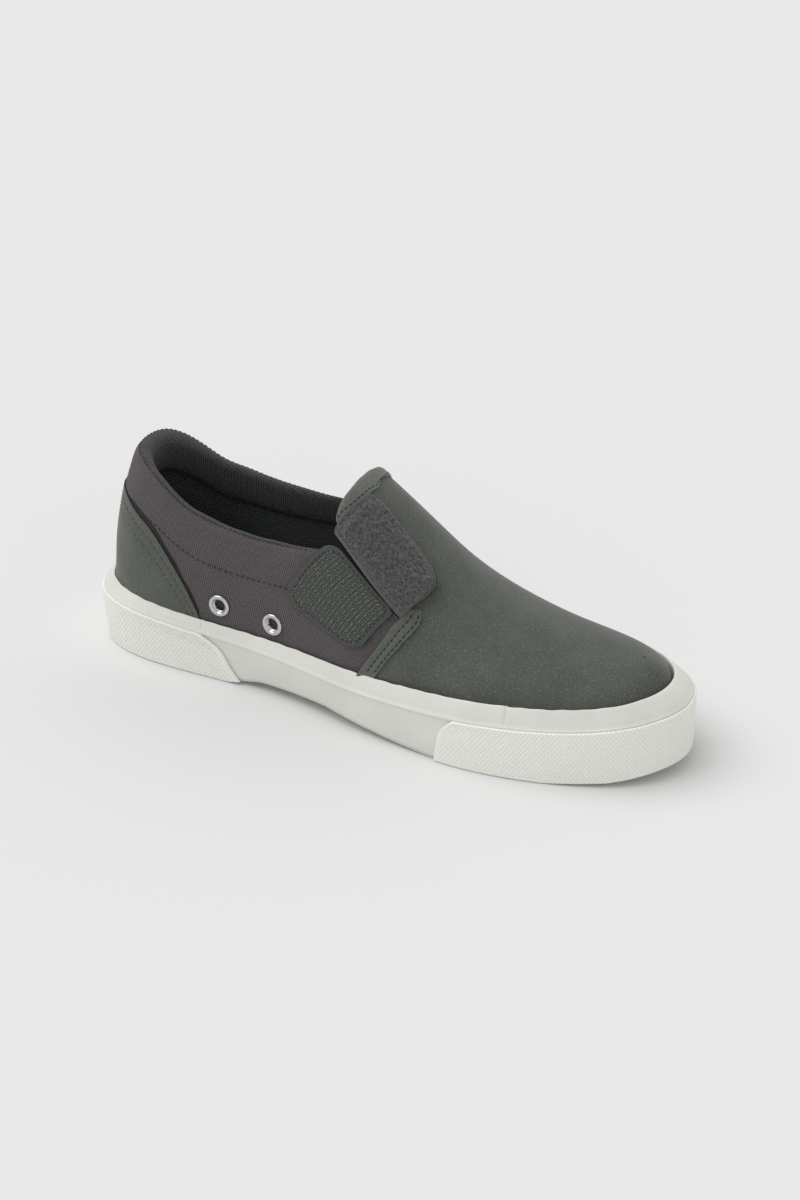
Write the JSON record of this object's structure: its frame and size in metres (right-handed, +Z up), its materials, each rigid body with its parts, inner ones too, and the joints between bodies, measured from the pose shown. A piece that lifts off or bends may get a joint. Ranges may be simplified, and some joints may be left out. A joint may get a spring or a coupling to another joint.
{
  "type": "slip-on sneaker",
  "caption": "Left low slip-on sneaker: canvas quarters, microfibre vamp and heel counter, padded collar, open hook-and-loop strap, off-white cupped rubber sole.",
  "frame": {"origin": "middle of the shoe's bounding box, on the floor under the sole", "axes": "+X from heel to toe, +Y towards the lateral (outer) side of this left shoe, +Z up"},
  "size_m": [0.275, 0.0988, 0.0995],
  "materials": {
    "sole_rubber": "matt off-white moulded rubber",
    "canvas": "matt grey woven canvas with a faint purple tint",
    "microfibre": "matt grey-green brushed microfibre with fine light specks",
    "lining": "dark charcoal mesh",
    "hook_tape": "woven hook tape",
    "loop_pile": "fuzzy loop pile",
    "eyelet_metal": "bright nickel"
  },
  "bodies": {
    "root": {"outsole": "sole_rubber", "foxing": "sole_rubber", "toe_guard": "sole_rubber", "heel_guard": "sole_rubber", "insole": "lining", "upper": "canvas", "collar_roll": "lining", "heel_counter": "microfibre", "vamp_edge_band_medial": "microfibre", "vamp_edge_band_lateral": "microfibre", "tongue_binding": "microfibre", "hook_patch": "hook_tape", "closure_strap": "microfibre", "loop_patch": "loop_pile", "eyelet_rear": "eyelet_metal", "eyelet_front": "eyelet_metal"}
  },
  "joints": []
}
